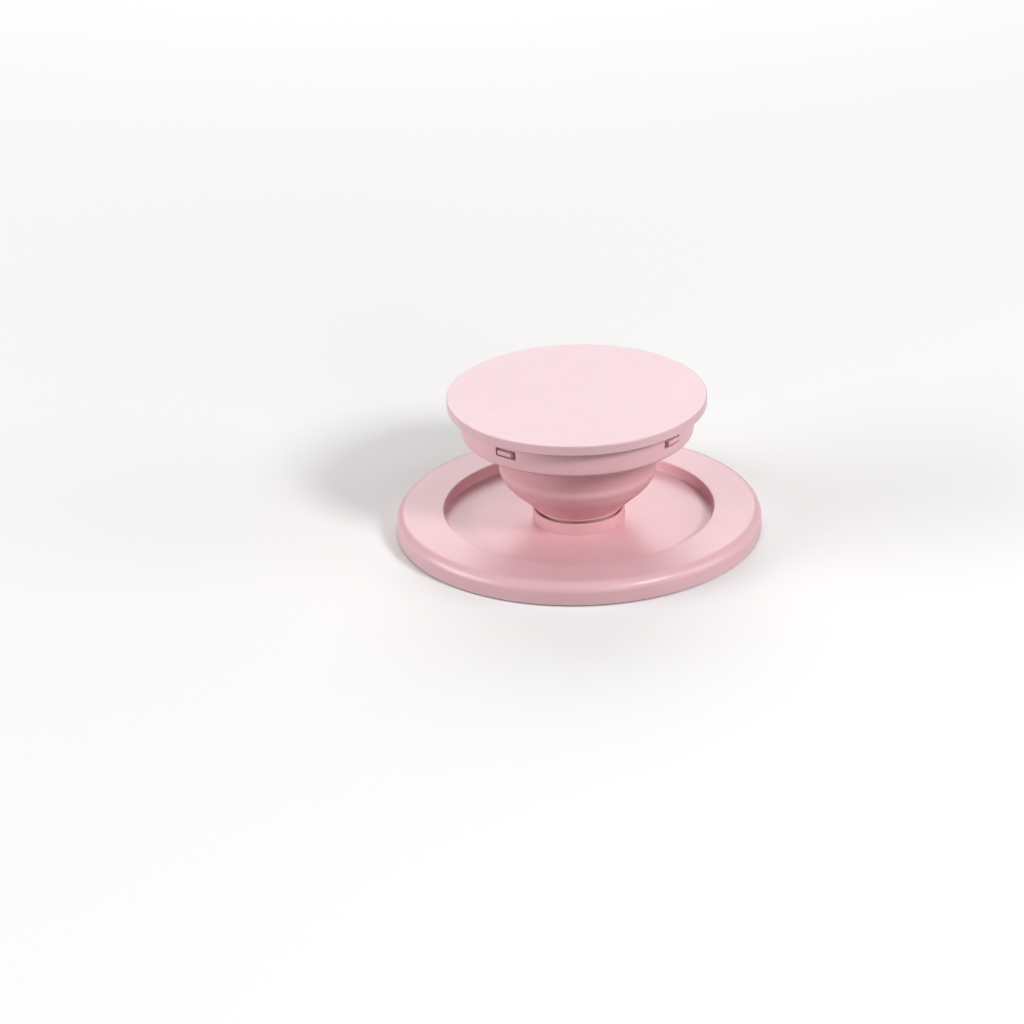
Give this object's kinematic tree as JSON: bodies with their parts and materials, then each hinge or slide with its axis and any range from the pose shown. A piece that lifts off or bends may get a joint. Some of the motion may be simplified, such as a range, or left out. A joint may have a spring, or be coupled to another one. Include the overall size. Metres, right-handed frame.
{
  "type": "magnetic phone grip",
  "caption": "Collapsible magnetic phone grip: round magnet base with a sunk centre, a swivelling accordion stem and a flat round top disc held by snap lugs in a windowed skirt.",
  "frame": {"origin": "on the stem axis, at the phone face of the soft pad", "axes": "+Z along the stem, away from the phone; -Y faces the front, midway between two latch windows"},
  "size_m": [0.0572, 0.0572, 0.0227],
  "materials": {
    "pink_shell": "satin moulded ABS, soft pink",
    "pink_plate": "fine matte moulded ABS, soft pink",
    "pink_elastomer": "matte moulded thermoplastic elastomer, pink",
    "pad_silicone": "soft silicone, deeper pink",
    "magnet_nickel": "nickel-plated sintered magnet",
    "shield_steel": "stamped steel sheet",
    "rivet_nylon": "natural nylon"
  },
  "bodies": {
    "base": {"base_cover": "pink_shell", "base_plate": "pink_plate", "grip_pad": "pad_silicone", "magnet_shield": "shield_steel", "magnet_01": "magnet_nickel", "magnet_02": "magnet_nickel", "magnet_03": "magnet_nickel", "magnet_04": "magnet_nickel", "magnet_05": "magnet_nickel", "magnet_06": "magnet_nickel", "magnet_07": "magnet_nickel", "magnet_08": "magnet_nickel", "magnet_09": "magnet_nickel", "magnet_10": "magnet_nickel", "magnet_11": "magnet_nickel", "magnet_12": "magnet_nickel", "magnet_13": "magnet_nickel", "magnet_14": "magnet_nickel", "magnet_15": "magnet_nickel", "magnet_16": "magnet_nickel", "magnet_17": "magnet_nickel", "magnet_18": "magnet_nickel"},
    "stem": {"accordion": "pink_elastomer", "foot_rivet": "rivet_nylon"},
    "top": {"latch_skirt": "pink_shell", "top_disc": "pink_shell"}
  },
  "joints": [
    {"name": "grip_swivel", "type": "hinge", "parent": "base", "child": "stem", "pos_m": [0, 0, 0.0025], "axis": [0, 0, 1], "continuous": true},
    {"name": "grip_collapse", "type": "slide", "parent": "stem", "child": "top", "axis": [0, 0, -1], "range_m": [0, 0.0146], "deforming": ["accordion"]}
  ]
}
